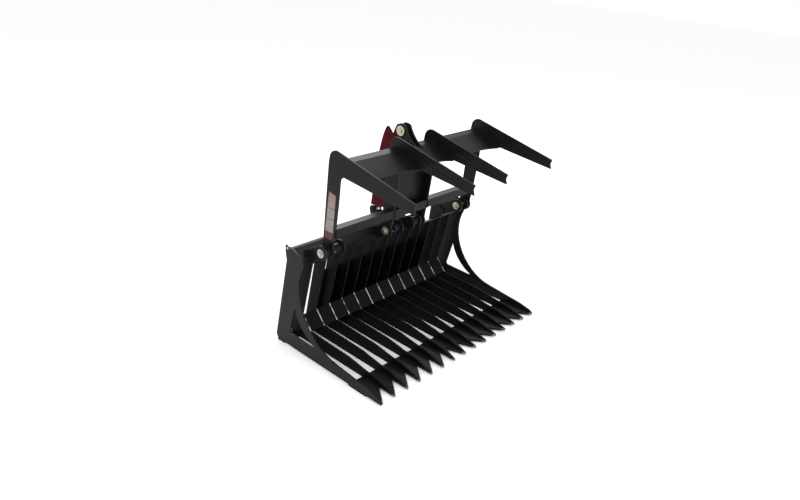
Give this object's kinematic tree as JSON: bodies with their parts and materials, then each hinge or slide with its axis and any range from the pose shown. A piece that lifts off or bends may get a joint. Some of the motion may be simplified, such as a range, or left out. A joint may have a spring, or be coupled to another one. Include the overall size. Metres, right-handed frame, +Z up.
{
  "type": "grapple bucket",
  "caption": "Skeleton rock bucket with toothed edge and a hinged hydraulic grapple lid, for a skid-steer loader.",
  "frame": {"origin": "on the ground under the middle of the heel bar, midway between the side plates", "axes": "+Z up from the ground the bucket rests on; -Y towards the teeth; +X to the right seen from behind the teeth looking at the back"},
  "size_m": [1.829, 1.1755, 1.599],
  "materials": {
    "black_paint": "satin",
    "edge_paint": "satin",
    "red_paint": "satin",
    "zinc": "satin",
    "chrome": "polished"
  },
  "bodies": {
    "bucket": {"side_plate_left": "black_paint", "side_plate_right": "black_paint", "rib_1": "black_paint", "rib_2": "black_paint", "rib_3": "black_paint", "rib_4": "black_paint", "rib_5": "black_paint", "rib_6": "black_paint", "rib_7": "black_paint", "rib_8": "black_paint", "rib_9": "black_paint", "rib_10": "black_paint", "rib_11": "black_paint", "rib_12": "black_paint", "rib_13": "black_paint", "heel_plate": "black_paint", "cutting_edge": "edge_paint", "top_beam": "black_paint", "rear_cross_plate": "black_paint", "loader_plate": "black_paint", "skid_pads": "edge_paint", "heel_bar": "edge_paint", "pivot_ears_1": "black_paint", "pivot_ears_2": "black_paint", "pivot_ears_3": "black_paint", "pivot_ears_4": "black_paint", "spacer_tubes": "black_paint", "pivot_pin_1": "zinc", "pivot_pin_2": "zinc", "pivot_pin_3": "zinc", "pivot_pin_4": "zinc", "pin_end_bolts": "black_paint", "cylinder_bracket": "black_paint"},
    "lid": {"lid_arm_1": "black_paint", "lid_arm_2": "black_paint", "lid_arm_3": "black_paint", "lid_arm_4": "black_paint", "lid_hub_1": "black_paint", "lid_hub_2": "black_paint", "lid_hub_3": "black_paint", "lid_hub_4": "black_paint", "cross_plate_left": "black_paint", "cross_plate_middle": "black_paint", "cross_plate_right": "black_paint", "centre_plate": "black_paint", "lower_tube": "black_paint", "finger_strips": "black_paint", "cylinder_ear_left": "black_paint", "cylinder_ear_right": "black_paint", "guard_left": "red_paint", "guard_right": "red_paint", "upper_pin": "zinc"},
    "barrel": {"cylinder_barrel": "black_paint", "cylinder_gland": "black_paint"},
    "rod": {"cylinder_rod": "chrome", "cylinder_piston": "chrome", "lower_pin": "zinc"}
  },
  "joints": [
    {"name": "lid_hinge", "type": "hinge", "parent": "bucket", "child": "lid", "pos_m": [0, -0.314, 0.82], "axis": [1, 0, 0], "range_deg": [0, 87]},
    {"name": "cylinder_swing", "type": "hinge", "parent": "lid", "child": "barrel", "pos_m": [0, -0.24, 1.545], "axis": [1, 0, 0], "range_deg": [-19, 0]},
    {"name": "rod_slide", "type": "slide", "parent": "barrel", "child": "rod", "axis": [0, 0.3121, -0.95], "range_m": [0, 0.332]}
  ],
  "couplings": [
    {"joint": "cylinder_swing", "follows": "lid_hinge", "ratio": -0.2158},
    {"joint": "rod_slide", "follows": "lid_hinge", "m_per_rad": 0.2179}
  ]
}
